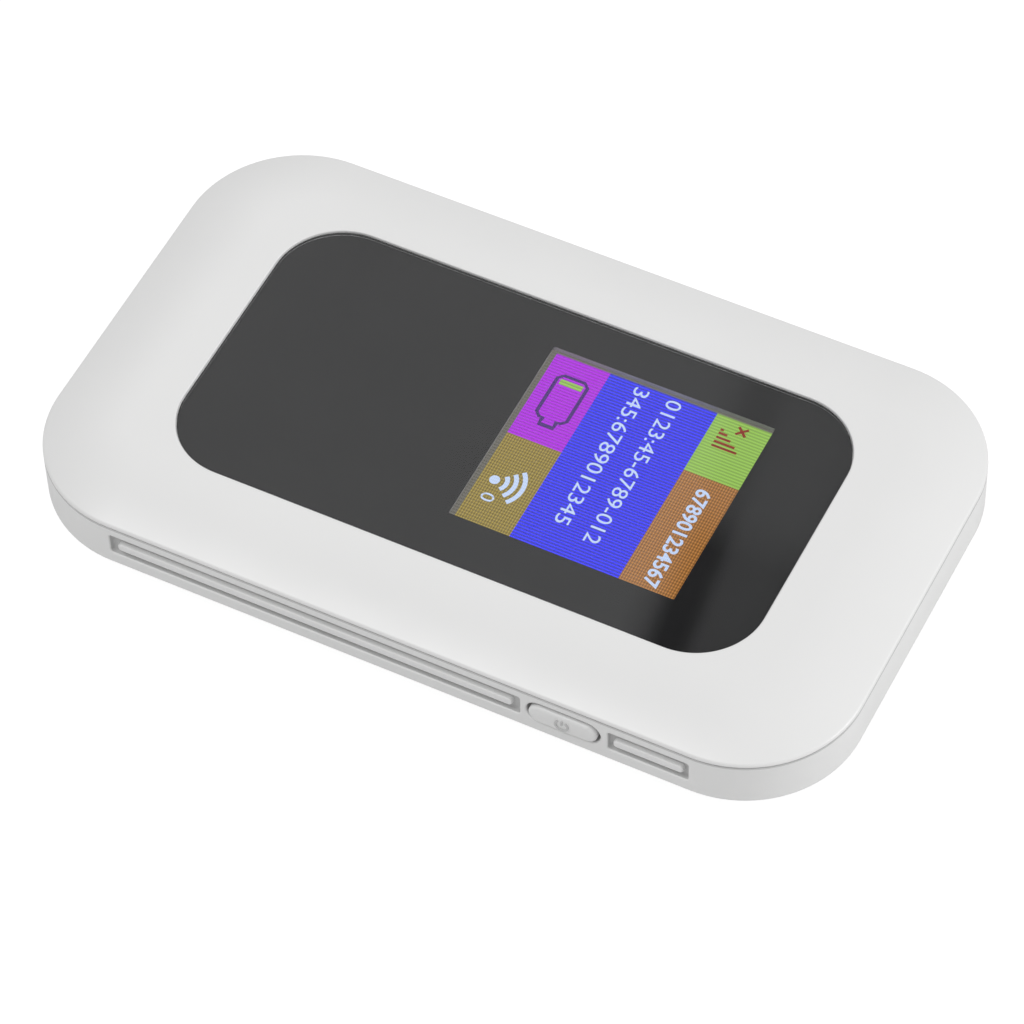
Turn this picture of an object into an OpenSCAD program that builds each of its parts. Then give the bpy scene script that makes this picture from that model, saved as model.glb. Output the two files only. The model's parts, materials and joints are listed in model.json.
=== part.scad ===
// Pocket mobile hotspot: a battery-powered 4G router with a square colour display.
// Origin: centre of the footprint, on the surface that the case lies on. +Z is the front face,
// +X is the end above the display's picture, -Y is the long side with the power key.

/* [Case] */
// Length of the case along X
case_l = 100; // [99:0.5:103]
// Width of the case along Y
case_w = 59.4; // [59:0.2:62]
// Overall thickness of the case
case_h = 12.2; // [12.2:0.1:13]
// Radius of the case corners seen from the front
corner_r = 14; // [13:0.5:15]
// Thickness of the outer walls
wall_t = 1.5; // [1.4:0.1:1.6]
// Height of the removable back cover's dish
cover_h = 3.2; // [3.1:0.05:3.2]
// Height of the seam between housing and top cover
seam_z = 9.75; // [9.65:0.05:9.75]
// Width of the front face's crowned border
edge_in = 10; // [9:0.5:10]
// Height from the front face down to the middle of its edge's rounding
edge_drop = 2.3; // [2.1:0.1:2.3]
// Radius of the front face's edge
edge_r = 0.45; // [0.4:0.05:0.5]

/* [Window and display] */
// Length of the dark window panel
window_l = 72.2; // [70:0.2:73]
// Width of the dark window panel
window_w = 38.4; // [37:0.2:39]
// Corner radius of the window panel
window_r = 8.3; // [7:0.1:9]
// Depth of the window below the front face
window_drop = 0.25; // [0.15:0.05:0.4]
// Thickness of the window panel
window_t = 0.8; // [0.7:0.1:0.8]
// Distance of the picture from the middle of the case, towards +X
display_x = 12.2; // [11:0.1:13]
// Distance of the picture from the middle of the case, towards +Y
display_y = 0.4; // [0:0.1:0.6]
// Length of the lit picture along X
picture_l = 27; // [26:0.1:27]
// Width of the lit picture along Y
picture_w = 25.8; // [25:0.1:26]

/* [Power key and grip slots] */
// Position of the power key along the case
key_x = 20.8; // [20:0.1:22]
// Length of the key's opening
key_slot_l = 9; // [8.6:0.1:9.2]
// Height of the key's opening
key_slot_h = 3.4; // [3:0.1:3.4]
// How far the key stands out of the side wall
key_proud = 0.45; // [0.2:0.05:0.5]
// Travel of the power key
key_travel = 0.25; // [0.2:0.05:0.25]
// Height of the slots and the key's middle above the table
slot_z = 6.82; // [6.8:0.01:6.9]
// Height of the side slots
slot_h = 3.25; // [3:0.05:3.3]
// Depth of the side slots
slot_d = 0.75; // [0.5:0.05:0.8]
// Height of the rib inside each side slot
rib_h = 1.07; // [0.9:0.01:1.2]

/* [Battery and SIM card] */
// Length of the battery pack
battery_l = 56; // [54:0.5:56]
// Width of the battery pack
battery_w = 40; // [38:0.5:40]
// Thickness of the battery pack
battery_t = 4.5; // [4.2:0.1:4.5]
// Travel of the SIM card out of its holder
sim_travel = 6; // [4:0.5:6]

/* [Hidden] */

$fn = 64;
cut = 0.1;             // how far a cutting solid runs past the surface that it cuts
arc_steps = 8;         // straight steps in a profile's rounding
edge_steps = 20;       // the same in the crown round the front face

// Case levels, measured up from the table
seam_gap = 0.1;        // shadow line between housing and back cover
base_z = cover_h + seam_gap;
frame_rise = 0.2;      // the inner frame's floor above the ring's lower edge
floor_z = base_z + frame_rise;
floor_t = 0.8;
tongue_rise = 0.5;     // height of the locating tongue above the seam
tongue_z = seam_z + tongue_rise;
plate_t = 1.3;         // thickness of the front face, window and tray apart
plate_z = case_h - plate_t;
crown_in = edge_in - edge_r;
crown_drop = edge_drop - edge_r;
crown_r = edge_r + (crown_in ^ 2 + crown_drop ^ 2) / (2 * crown_drop);
crown_turn = asin(crown_in / (crown_r - edge_r));
web_in = 3.6;          // the face's underside slopes down to the seam between these insets
web_out = 2.2;
window_top = case_h - window_drop;
window_z = window_top - window_t;
window_gap = 0.1;      // gap between the window and its recess
glue_t = 0.15;
glue_in = 0.5;         // set-back of the adhesive from the recess's wall
tray_floor = window_z - glue_t;
tray_t = 0.6;
tray_z = tray_floor - tray_t;
tray_over = 1.2;       // how far the tray's outside stands past the recess
ledge_w = 0.8;         // ledge in the housing that the inner frame clamps
ledge_t = 0.6;
frame_clear = 0.05;    // gap between the inner frame and the housing
foot_r = 0.5;          // rounding of the housing's lower edge
seam_bevel = 0.12;     // bevel on both sides of the seam
seam_clear = 0.05;     // gap across the seam
tongue_t = 0.6;        // thickness of the locating tongue
tongue_gap = 0.1;      // gap between the tongue and the top cover's skirt
cover_t = 1.2;         // thickness of the back cover
cover_rim_t = 0.25;    // upright edge of the back cover's rim
cover_slope = 45;      // slope of the back cover where it meets the housing
cover_inset = 0.5;     // the cover's rim stays under the housing's rounded foot
tongue_h = 0.9;        // locating tongues that stand up from the cover's rim
tongue_root = 0.3;     // how far they reach down into the rim
cover_tongue_t = 0.8;
tongue_clear = 0.15;
side_tongue_l = 12;
end_tongue_l = 14;
side_tongue_x = 24;
nail_r = 5;            // fingernail notch in the cover's rim
nail_d = 1.9;
nail_h = 0.9;
cover_pad_size = [30, 20, 0.2];

// Board levels
board_t = 0.8;
board_z = 7.2;
board_top = board_z + board_t;
board_l = 92;
board_w = 52;
board_r = 10;

// Battery bay
bay_x = 11;
bay_gap = 0.4;
bay_wall = 1;
roof_z = 6.2;
roof_t = 0.7;
battery_z = 1.45;

// Display stack
glass_l = 32.1;
glass_w = 28.4;
glass_t = 0.9;
glass_drop = 0.6;      // air gap between the window and the display
glass_top = window_z - glass_drop;
glass_z = glass_top - glass_t;
glass_x = display_x - 1.25;
light_in = [0.4, 0.2]; // how much smaller than the glass the backlight is
tape_t = 0.3;
tape_in = 1;           // how much smaller than the glass the tape's outside and opening are
tape_open = 5;
tape_z = board_top;
light_z = tape_z + tape_t;
opening_gap = 0.4;
gasket_in = 1.2;       // how much wider than the picture the gasket's opening and outside are
gasket_out = 2.4;
cable_w = 16;
cable_t = 0.12;
cable_r = 0.55;
cable_end = 0.3;       // flat end of the cable under the glass's edge

// Micro-USB socket
usb_w = 7.5;
usb_h = 2.4;
usb_d = 5.5;
usb_z = 7;
usb_skin = 0.25;
usb_gap = 0.15;
usb_face = 0.2;        // set-back of the socket's mouth from the end wall
usb_chamfer = 1.2;     // slanted lower corners of the socket's outline

// Screws
screw_r = 0.75;
screw_head_r = 1.4;
screw_head_h = 0.8;
screw_seat_z = 5;
screw_clear = 0.2;     // gap round a screw in the inner frame
thread_clear = 0.05;   // gap round a screw in the top cover
bore_end = 0.3;        // the bores stop this much under the tray's underside
boss_r = 2.1;
boss_x = 43.5;
boss_y = 18;
mid_boss_y = 24.3;
screw_spots = [[-boss_x, -boss_y], [-boss_x, boss_y], [boss_x, -boss_y], [boss_x, boss_y],
    [0, -mid_boss_y], [0, mid_boss_y]];

// SIM holder
sim_x = -35;
sim_y = 0;
sim_w = 12;            // a micro-SIM card: 12 x 15 x 0.76 mm
sim_l = 15;
sim_t = 0.76;
sim_gap = 0.12;        // gap between the card and its holder
sim_z = 5.98;
sim_recess_w = 15.6;
sim_recess_y0 = -sim_l / 2 - sim_travel - 0.7;
sim_recess_y1 = 9.2;
sim_wall = 0.8;
sim_skin = 0.2;
sim_pad = [2, 1.7, 0.05];

// Power and reset switches
key_y = -case_w / 2 - key_proud;
key_clear = 0.35;
key_inner_y = -case_w / 2 + wall_t;
key_flange_gap = 0.2;
key_flange_t = 0.6;
key_flange_over = 0.5;
flange_room = 1;       // how far the ledge is cut away past each end of the key's opening
key_step = 0.25;       // the key's face is this much smaller all round
nub_drop = 0.3;        // the key's nub sits this much below its middle
key_nub_r = 0.7;
key_nub_l = 0.65;
nub_end_y = key_inner_y + key_flange_gap + key_flange_t + key_nub_l;
plunger_gap = 0.05;
plunger_out = 0.6;     // how far a plunger stands out of its switch
plunger_size = [1.6, 1.1, 0.8];
switch_size = [4.4, 2.2, 1.5];
switch_y = nub_end_y + plunger_gap + plunger_out;
reset_x = -34;
reset_y = 20;
reset_size = [3.6, 3.2, 1.2];
reset_r = 0.6;
reset_pin_h = 0.8;
reset_pin_z = 5.55;
reset_hole_r = 0.9;
reset_pocket = 0.9;

// Shield cans and chips
can_l = 32;
can_w = 21.3;
can_h = 1.9;
can_t = 0.2;
can_x = -25;
can_y = 11.35;
chip_h = 1;

// Battery connector
connector_size = [3.4, 10, 2.2];
blade_pitch = 2.2;
blade_size = [1.4, 0.9, 1.1];
blade_count = 4;
blade_z = 5;
blade_gap = 0.3;       // gap round the blades in the bay's wall
connector_gap = 0.1;   // gap between the connector and the bay's wall
bay_end_x = bay_x - battery_l / 2 - bay_gap;

// Points of an arc: centre c, radii r, from angle a0 to a1
function arc(c, r, a0, a1, steps = arc_steps) = [for (i = [0 : steps])
    let (a = a0 + (a1 - a0) * i / steps) [c[0] + r[0] * cos(a), c[1] + r[1] * sin(a)]];

// Outline of a rounded rectangle about the origin
function outline(l, w, r) = concat(
    arc([l / 2 - r, w / 2 - r], [r, r], 0, 90),
    arc([r - l / 2, w / 2 - r], [r, r], 90, 180),
    arc([r - l / 2, r - w / 2], [r, r], 180, 270),
    arc([l / 2 - r, r - w / 2], [r, r], 270, 360));

// Sweeps a profile round a rounded rectangle: the profile's x = 0 is the corner's axis
module rim(l, w, r) {
    for (c = [[1, 1, 0], [-1, 1, 90], [-1, -1, 180], [1, -1, 270]])
        translate([c[0] * (l / 2 - r), c[1] * (w / 2 - r), 0])
            rotate([0, 0, c[2]])
                rotate_extrude(angle = 90)
                    children();
    for (turn = [0, 180]) {
        rotate([0, 0, turn])
            translate([l / 2 - r, w / 2 - r, 0])
                rotate([90, 0, 0])
                    linear_extrude(w - 2 * r)
                        children();
        rotate([0, 0, turn])
            translate([r - l / 2, w / 2 - r, 0])
                rotate([90, 0, 90])
                    linear_extrude(l - 2 * r)
                        children();
    }
}

// Fills the middle that rim() leaves open, between two heights
module core(l, w, r, z0, z1) {
    translate([r - l / 2, r - w / 2, z0])
        cube([l - 2 * r, w - 2 * r, z1 - z0]);
}

// Flat plate with rounded corners, standing on z
module plate(l, w, r, z, t) {
    translate([0, 0, z])
        linear_extrude(t)
            polygon(outline(l, w, r));
}

// Box given by its middle in x and y, its size and its lowest height
module box(x, y, z, size) {
    translate([x - size[0] / 2, y - size[1] / 2, z])
        cube(size);
}

// Upright rectangular frame: outer and inner sizes about one middle
module frame_ring(x, y, z, outer, inner, t) {
    difference() {
        box(x, y, z, [outer[0], outer[1], t]);
        box(x, y, z - cut, [inner[0], inner[1], t + 2 * cut]);
    }
}

// A flat stadium lying in the side wall: its long way is X and it runs along +Y from y0
module side_stadium(x, z, l, h, y0, d) {
    translate([x, y0 + d, z])
        rotate([90, 0, 0])
            linear_extrude(d)
                polygon(concat(
                    arc([(l - h) / 2, 0], [h / 2, h / 2], -90, 90),
                    arc([(h - l) / 2, 0], [h / 2, h / 2], 90, 270)));
}

// A rounded rectangle cut into the side wall
module side_block(x0, x1, z, h, r, y0, d) {
    translate([(x0 + x1) / 2, y0 + d, z])
        rotate([90, 0, 0])
            linear_extrude(d)
                polygon(outline(x1 - x0, h, r));
}

// The two grip slots beside the power key: left end, right end
slots = [[-35.85, 15.65], [26.1, 35.95]];
slot_end_r = 0.45;
rib_inset = [1.1, 0.75];
rib_drop = 0.1;

module side_slots() {
    for (s = slots)
        side_block(s[0], s[1], slot_z, slot_h, slot_end_r, -case_w / 2 - cut, slot_d + cut);
}

module slot_ribs() {
    for (s = slots)
        side_block(s[0] + rib_inset[0], s[1] - rib_inset[1], slot_z - rib_drop, rib_h,
            slot_end_r, -case_w / 2, slot_d + cut);
}

// Side wall of the case: an open ring with a ledge inside and a tongue on top
module housing_ring() {
    inner = corner_r - wall_t;
    ledge_z = floor_z + floor_t + frame_clear;
    rim(case_l, case_w, corner_r)
        polygon(concat(
            [[inner, base_z]],
            arc([corner_r - foot_r, base_z + foot_r], [foot_r, foot_r], -90, 0),
            [[corner_r, seam_z - seam_clear - seam_bevel],
             [corner_r - seam_bevel, seam_z - seam_clear],
             [inner + tongue_t, seam_z - seam_clear],
             [inner + tongue_t, tongue_z],
             [inner, tongue_z],
             [inner, ledge_z + ledge_t],
             [inner - ledge_w, ledge_z + ledge_t],
             [inner - ledge_w, ledge_z],
             [inner, ledge_z]]));
}

module lower_housing() {
    color("whitesmoke") {
        difference() {
            housing_ring();
            side_stadium(key_x, slot_z, key_slot_l, key_slot_h, -case_w / 2 - cut,
                wall_t + 2 * cut);
            translate([key_x - key_slot_l / 2 - flange_room, key_inner_y, base_z])
                cube([key_slot_l + 2 * flange_room, ledge_w + cut, seam_z - base_z]);
            translate([-case_l / 2 - cut, -usb_w / 2 - usb_gap, usb_z - usb_gap])
                cube([wall_t + 2 * cut, usb_w + 2 * usb_gap, usb_h + 2 * usb_gap]);
            side_slots();
        }
        slot_ribs();
    }
}

module frame_blocks() {
    inset = wall_t + frame_clear;
    plate(case_l - 2 * inset, case_w - 2 * inset, corner_r - inset, floor_z, floor_t);
    box(bay_x, 0, floor_z, [battery_l + 2 * (bay_gap + bay_wall),
        battery_w + 2 * (bay_gap + bay_wall), roof_z + roof_t - floor_z]);
    translate([sim_x - sim_recess_w / 2 - sim_wall, sim_recess_y0 - sim_wall, floor_z])
        cube([sim_recess_w + 2 * sim_wall, sim_recess_y1 - sim_recess_y0 + 2 * sim_wall,
            roof_z + roof_t - floor_z]);
    for (p = screw_spots)
        translate([p[0], p[1], floor_z])
            cylinder(r = boss_r, h = board_z - floor_z);
}

module frame_hollows() {
    box(bay_x, 0, floor_z - cut,
        [battery_l + 2 * bay_gap, battery_w + 2 * bay_gap, roof_z - floor_z + cut]);
    translate([sim_x - sim_recess_w / 2, sim_recess_y0, floor_z - cut])
        cube([sim_recess_w, sim_recess_y1 - sim_recess_y0, board_z - floor_z + 2 * cut]);
    box(bay_end_x - bay_wall / 2, 0, blade_z - blade_gap,
        [bay_wall + 2 * cut, connector_size[1] - 2 * blade_gap,
         roof_z + roof_t - blade_z + blade_gap + cut]);
    for (p = screw_spots)
        translate([p[0], p[1], floor_z - cut]) {
            cylinder(r = screw_head_r + screw_clear, h = screw_seat_z - floor_z + cut);
            cylinder(r = screw_r + screw_clear, h = board_z - floor_z + 2 * cut);
        }
    translate([reset_x, reset_y, floor_z - cut])
        cylinder(r = reset_hole_r, h = floor_t + 2 * cut);
    cover_tongues(floor_z - cut, floor_t + 2 * cut, tongue_clear);
}

// Moulded frame under the board: battery bay, SIM recess and the bosses that the screws pass
module inner_frame() {
    color("gainsboro")
        difference() {
            frame_blocks();
            frame_hollows();
        }
}

// Profile of the top cover from the corner's axis to its edge
module cover_profile() {
    skirt = corner_r - wall_t + tongue_t + tongue_gap;
    polygon(concat(
        [[0, plate_z],
         [corner_r - web_in, plate_z],
         [corner_r - web_out, tongue_z + seam_clear],
         [skirt, tongue_z + seam_clear],
         [skirt, seam_z],
         [corner_r - seam_bevel, seam_z],
         [corner_r, seam_z + seam_bevel]],
        arc([corner_r - edge_r, case_h - edge_drop], [edge_r, edge_r], 0, 90 - crown_turn),
        arc([corner_r - edge_in, case_h - crown_r], [crown_r, crown_r],
            90 - crown_turn * (1 - 1 / edge_steps), 90, edge_steps - 1),
        [[0, case_h]]));
}

// Front face with a crowned border, the window's recess and tray, and the screw bosses
module top_cover() {
    color("white")
        difference() {
            union() {
                rim(case_l, case_w, corner_r)
                    cover_profile();
                core(case_l, case_w, corner_r, plate_z, case_h);
                plate(window_l + 2 * tray_over, window_w + 2 * tray_over, window_r + tray_over,
                    tray_z, plate_z - tray_z + cut);
                for (p = screw_spots)
                    translate([p[0], p[1], board_top + seam_clear])
                        cylinder(r = boss_r, h = plate_z - board_top);
            }
            plate(window_l, window_w, window_r, tray_floor, case_h);
            box(glass_x, display_y, tray_z - cut,
                [glass_l + 2 * opening_gap, glass_w + 2 * opening_gap, case_h]);
            for (p = screw_spots)
                translate([p[0], p[1], board_top - cut])
                    cylinder(r = screw_r + thread_clear, h = tray_z - bore_end - board_top + cut);
        }
}

// Curve of the back cover: an arc that leaves the bottom flat and meets the rim at a slope
cover_l = case_l - 2 * cover_inset;
cover_w = case_w - 2 * cover_inset;
cover_r = corner_r - cover_inset;
cover_arc_h = cover_h - cover_rim_t;
cover_arc_r = cover_arc_h / (1 - cos(cover_slope));
cover_arc_in = cover_arc_r * sin(cover_slope);

// Solid dish between z_low and z_high, set in from the cover's rim
module dish(inset, z_low, z_high) {
    r = cover_r - inset;
    rim(cover_l - 2 * inset, cover_w - 2 * inset, r)
        polygon(concat(
            [[0, z_low]],
            arc([r - cover_arc_in, cover_arc_r + z_low], [cover_arc_r, cover_arc_r],
                -90, cover_slope - 90),
            [[r, z_high], [0, z_high]]));
    core(cover_l - 2 * inset, cover_w - 2 * inset, r, z_low, z_high);
}

// The six tongues' places, wider by grow on every side
module cover_tongues(z, h, grow) {
    reach = wall_t + tongue_clear + cover_tongue_t / 2;
    for (side = [-1, 1]) {
        for (x = [-side_tongue_x, side_tongue_x])
            box(x, side * (case_w / 2 - reach), z,
                [side_tongue_l + 2 * grow, cover_tongue_t + 2 * grow, h]);
        box(side * (case_l / 2 - reach), 0, z,
            [cover_tongue_t + 2 * grow, end_tongue_l + 2 * grow, h]);
    }
}

module back_cover() {
    color("white")
        difference() {
            union() {
                difference() {
                    dish(0, 0, cover_h);
                    dish(wall_t - cover_inset, cover_t, cover_h + cover_t);
                }
                cover_tongues(cover_h - tongue_root, tongue_h + tongue_root, 0);
            }
            translate([0, case_w / 2 + nail_r - nail_d, cover_h - nail_h])
                cylinder(r = nail_r, h = nail_h + cut);
        }
}

module cover_pad() {
    color("dimgray")
        box(bay_x, 0, cover_t, cover_pad_size);
}

module front_window() {
    color([0.1, 0.1, 0.11])
        plate(window_l - 2 * window_gap, window_w - 2 * window_gap, window_r - window_gap,
            window_z, window_t);
}

module window_adhesive() {
    color("black")
        difference() {
            plate(window_l - 2 * glue_in, window_w - 2 * glue_in, window_r - glue_in,
                tray_floor, glue_t);
            box(glass_x, display_y, tray_floor - cut,
                [glass_l + 2 * opening_gap, glass_w + 2 * opening_gap, glue_t + 2 * cut]);
        }
}

module display_gasket() {
    color("black")
        frame_ring(display_x, display_y, glass_top,
            [picture_l + gasket_out, picture_w + gasket_out],
            [picture_l + gasket_in, picture_w + gasket_in], window_z - glass_top);
}

module display_glass() {
    color("royalblue")
        box(glass_x, display_y, glass_z, [glass_l, glass_w, glass_t]);
}

module display_backlight() {
    color("white")
        box(glass_x, display_y, light_z,
            [glass_l - light_in[0], glass_w - light_in[1], glass_z - light_z]);
}

module display_tape() {
    color("gold")
        frame_ring(glass_x, display_y, tape_z, [glass_l - tape_in, glass_w - tape_in],
            [glass_l - tape_open, glass_w - tape_open], tape_t);
}

// Flexible cable: leaves the glass towards -X, folds down and lies on the board
module display_cable() {
    edge_x = glass_x - glass_l / 2;
    fold_z = (glass_z + board_top + cable_t) / 2;
    fold_r = (glass_z - board_top) / 2;
    outer = fold_r + cable_t / 2;
    inner = fold_r - cable_t / 2;
    color("darkorange")
        translate([0, display_y - cable_w / 2, 0])
            mirror([0, 1, 0])
                rotate([90, 0, 0])
                    linear_extrude(cable_w)
                        polygon(concat(
                            [[edge_x, fold_z + outer]],
                            arc([edge_x - cable_r, fold_z], [outer, outer], 90, 270),
                            [[edge_x + cable_end, fold_z - outer],
                             [edge_x + cable_end, fold_z - inner]],
                            arc([edge_x - cable_r, fold_z], [inner, inner], 270, 90),
                            [[edge_x, fold_z + inner]]));
}

module main_board() {
    color("darkgreen")
        difference() {
            plate(board_l, board_w, board_r, board_z, board_t);
            for (p = screw_spots)
                translate([p[0], p[1], board_z - cut])
                    cylinder(r = screw_r + 0.35, h = board_t + 2 * cut);
            translate([-case_l / 2, -usb_w / 2 - usb_gap, board_z - cut])
                cube([usb_face + usb_d + 0.15, usb_w + 2 * usb_gap, board_t + 2 * cut]);
        }
}

// Pressed metal can over a group of chips: side is 1 or -1 along Y
module shield_can(side) {
    color("silver")
        difference() {
            box(can_x, side * can_y, board_top, [can_l, can_w, can_h]);
            box(can_x, side * can_y, board_top - cut,
                [can_l - 2 * can_t, can_w - 2 * can_t, can_h - can_t + cut]);
        }
}

module baseband_shield() {
    shield_can(-1);
}

module radio_shield() {
    shield_can(1);
}

// Chips: middle x, middle y, length, width
baseband_spot = [-31, -11.5, 13, 13];
memory_spot = [-16, -15.5, 9, 7.5];
power_spot = [-16, -5.5, 6, 6];
radio_spot = [-32, 11, 7, 7];
wifi_spot = [-17, 12, 6, 6];

module chip(spot) {
    color([0.13, 0.13, 0.14])
        box(spot[0], spot[1], board_top, [spot[2], spot[3], chip_h]);
}

module baseband_chip() {
    chip(baseband_spot);
}

module memory_chip() {
    chip(memory_spot);
}

module power_chip() {
    chip(power_spot);
}

module wifi_chip() {
    chip(wifi_spot);
}

module radio_chip() {
    chip(radio_spot);
}

module thermal_pad() {
    color("lightskyblue")
        box(baseband_spot[0], baseband_spot[1], board_top + chip_h,
            [baseband_spot[2] - 1, baseband_spot[3] - 1, can_h - can_t - chip_h]);
}

// Small parts in rows: first spot, count, pitch along X and Y, size
module row_of(first, count, pitch, size) {
    for (i = [0 : count - 1])
        box(first[0] + i * pitch[0], first[1] + i * pitch[1], board_top, size);
}

module board_capacitors() {
    capacitor = [1, 0.5, 0.5];
    color("tan") {
        row_of([31, -14], 8, [0, 2.2], capacitor);
        row_of([34, -12], 6, [0, 2.2], capacitor);
        row_of([-11.4, -8], 3, [0, 2.2], capacitor);
        row_of([-25, 4], 4, [0, 2.2], capacitor);
        row_of([10, 20], 7, [2.2, 0], capacitor);
        row_of([6, -20], 5, [2.2, 0], capacitor);
        row_of([-23, -14], 6, [0, 2], capacitor);
    }
}

module board_inductors() {
    color("gray") {
        row_of([36, 8], 2, [0, 3.4], [2.5, 2, 1]);
        row_of([-12, 4.5], 3, [0, 2.6], [1.6, 1, 0.8]);
    }
}

module reference_crystal() {
    color("silver")
        box(-22, 17.5, board_top, [3.2, 2.5, 0.8]);
}

module coax_test_sockets() {
    color("gold")
        for (y = [-9, 6])
            translate([38, y - 7, board_top])
                difference() {
                    cylinder(r = 1.1, h = 1.1);
                    translate([0, 0, 0.4])
                        cylinder(r = 0.6, h = 1);
                }
}

// Outline of the socket's mouth: flat top, slanted lower corners
module usb_outline(inset) {
    w = usb_w / 2 - inset;
    h = usb_h / 2 - inset;
    polygon([[-w, h], [w, h], [w, -h + usb_chamfer - inset / 2],
        [w - usb_chamfer / 2, -h], [usb_chamfer / 2 - w, -h], [-w, -h + usb_chamfer - inset / 2]]);
}

// Places a profile in the end wall's plane and runs it towards +X
module along_x(x0, d) {
    translate([x0, 0, usb_z + usb_h / 2])
        rotate([90, 0, 90])
            linear_extrude(d)
                children();
}

module usb_shell() {
    mouth_x = usb_face - case_l / 2;
    tab = [1.2, 1, 0.3];
    color("silver") {
        difference() {
            along_x(mouth_x, usb_d)
                usb_outline(0);
            along_x(mouth_x - cut, usb_d - 0.4 + cut)
                usb_outline(usb_skin);
        }
        for (side = [-1, 1])
            box(mouth_x + usb_d - 0.7, side * (usb_w / 2 + 0.35), board_top, tab);
    }
}

module usb_tongue() {
    color("black")
        box(usb_face - case_l / 2 + usb_d / 2 + 0.35, 0, usb_z + usb_h / 2,
            [usb_d - 1.5, 3.7, 0.5]);
}

module power_key() {
    length = key_slot_l - 2 * key_clear;
    height = key_slot_h - 2 * key_clear;
    shank_end = key_inner_y + key_flange_gap;
    color("white") {
        side_stadium(key_x, slot_z, length - 2 * key_step, height - 2 * key_step, key_y,
            key_step + cut);
        side_stadium(key_x, slot_z, length, height, key_y + key_step,
            shank_end - key_y - key_step + cut);
        side_stadium(key_x, slot_z, key_slot_l + 2 * key_flange_over,
            key_slot_h + 2 * key_flange_over, shank_end, key_flange_t);
        translate([key_x, nub_end_y, slot_z - nub_drop])
            rotate([90, 0, 0])
                cylinder(r = key_nub_r, h = key_nub_l + cut);
    }
}

switch_z = board_z - switch_size[2];
plunger_z = slot_z - nub_drop - plunger_size[2] / 2;

module power_switch() {
    pocket = plunger_size[1] + key_travel + cut;
    color("dimgray")
        difference() {
            translate([key_x - switch_size[0] / 2, switch_y, switch_z])
                cube(switch_size);
            translate([key_x - plunger_size[0] / 2 - plunger_gap, switch_y - cut,
                plunger_z - plunger_gap])
                cube([plunger_size[0] + 2 * plunger_gap, pocket, plunger_size[2] + 2 * plunger_gap]);
        }
}

module power_plunger() {
    color("ivory")
        translate([key_x - plunger_size[0] / 2, nub_end_y + plunger_gap, plunger_z])
            cube(plunger_size);
}

module reset_switch() {
    color("dimgray")
        difference() {
            box(reset_x, reset_y, board_z - reset_size[2], reset_size);
            translate([reset_x, reset_y, board_z - reset_size[2] - cut])
                cylinder(r = reset_r + plunger_gap, h = reset_pocket + cut);
        }
}

module reset_plunger() {
    color("black")
        translate([reset_x, reset_y, reset_pin_z])
            cylinder(r = reset_r, h = reset_pin_h);
}

socket_y = 1.1;
socket_w = sim_w + 2;
socket_l = sim_l - 1.2;

module sim_socket() {
    base_t = board_z - sim_z - sim_t - sim_gap;
    color("black")
        box(sim_x, socket_y, board_z - base_t, [socket_w, socket_l, base_t]);
}

module sim_socket_shell() {
    skin_z = sim_z - 0.13 - sim_skin;
    color("silver") {
        box(sim_x, socket_y, skin_z, [socket_w + 2 * sim_skin, socket_l, sim_skin]);
        for (side = [-1, 1])
            box(sim_x + side * (socket_w / 2 + sim_skin / 2), socket_y, skin_z,
                [sim_skin, socket_l, board_z - skin_z]);
    }
}

module sim_card() {
    clip = 2;
    w = sim_w / 2;
    l = sim_l / 2;
    color("white")
        translate([sim_x, sim_y, sim_z])
            linear_extrude(sim_t)
                polygon([[-w, -l], [w, -l], [w, l - clip], [w - clip, l], [-w, l]]);
}

module sim_pads() {
    color("gold")
        for (x = [-1, 1])
            for (y = [-1, 0, 1])
                box(sim_x + x * 2.8, sim_y + y * 2.54, sim_z + sim_t, sim_pad);
}

module battery_connector() {
    color("black")
        box(bay_end_x - bay_wall - connector_gap - connector_size[0] / 2, 0, board_z - connector_size[2],
            connector_size);
}

module blade_row(x, z, size) {
    for (i = [0 : blade_count - 1])
        box(x, (i - (blade_count - 1) / 2) * blade_pitch, z, size);
}

module battery_blades() {
    color("gold")
        blade_row(bay_end_x - bay_wall - connector_gap + blade_size[0] / 2, blade_z, blade_size);
}

module battery_pack() {
    color([0.2, 0.2, 0.21])
        translate([bay_x, 0, 0])
            plate(battery_l, battery_w, 1.6, battery_z, battery_t);
}

module battery_terminals() {
    terminal = [0.06, 1.3, 1.6];
    color("gold")
        blade_row(bay_x - battery_l / 2 - terminal[0] / 2, battery_z + 2.6, terminal);
}

antenna_t = 0.12;
antenna_z = plate_z - antenna_t;
comb_l = 26;
spine_x = 44;

// Comb-shaped antenna foil: a spine with teeth, held against the inside of the top cover
module antenna_comb(x, y, spine, tooth, teeth, pitch, turn) {
    translate([x, y, antenna_z])
        rotate([0, 0, turn]) {
            cube([spine[0], spine[1], antenna_t]);
            for (i = [0 : teeth - 1])
                translate([i * pitch, -tooth[1], 0])
                    cube([tooth[0], tooth[1] + spine[1], antenna_t]);
        }
}

module main_antenna() {
    color("peru")
        antenna_comb(spine_x, comb_l / 2, [comb_l, 1.6], [1.6, 4.2], 6, 4.88, 270);
}

module diversity_antenna() {
    color("peru")
        antenna_comb(-spine_x, -comb_l / 2, [comb_l, 1.6], [1.6, 4.2], 6, 4.88, 90);
}

module wifi_antenna() {
    color("peru")
        antenna_comb(-29, 24.5, [20, 1.4], [1.4, 3.2], 5, 4.65, 0);
}

spring_spots = [[spine_x + 0.8, -2.5], [spine_x + 0.8, 2.5], [-spine_x - 0.8, 6.5], [-18, 25.2]];

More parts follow.
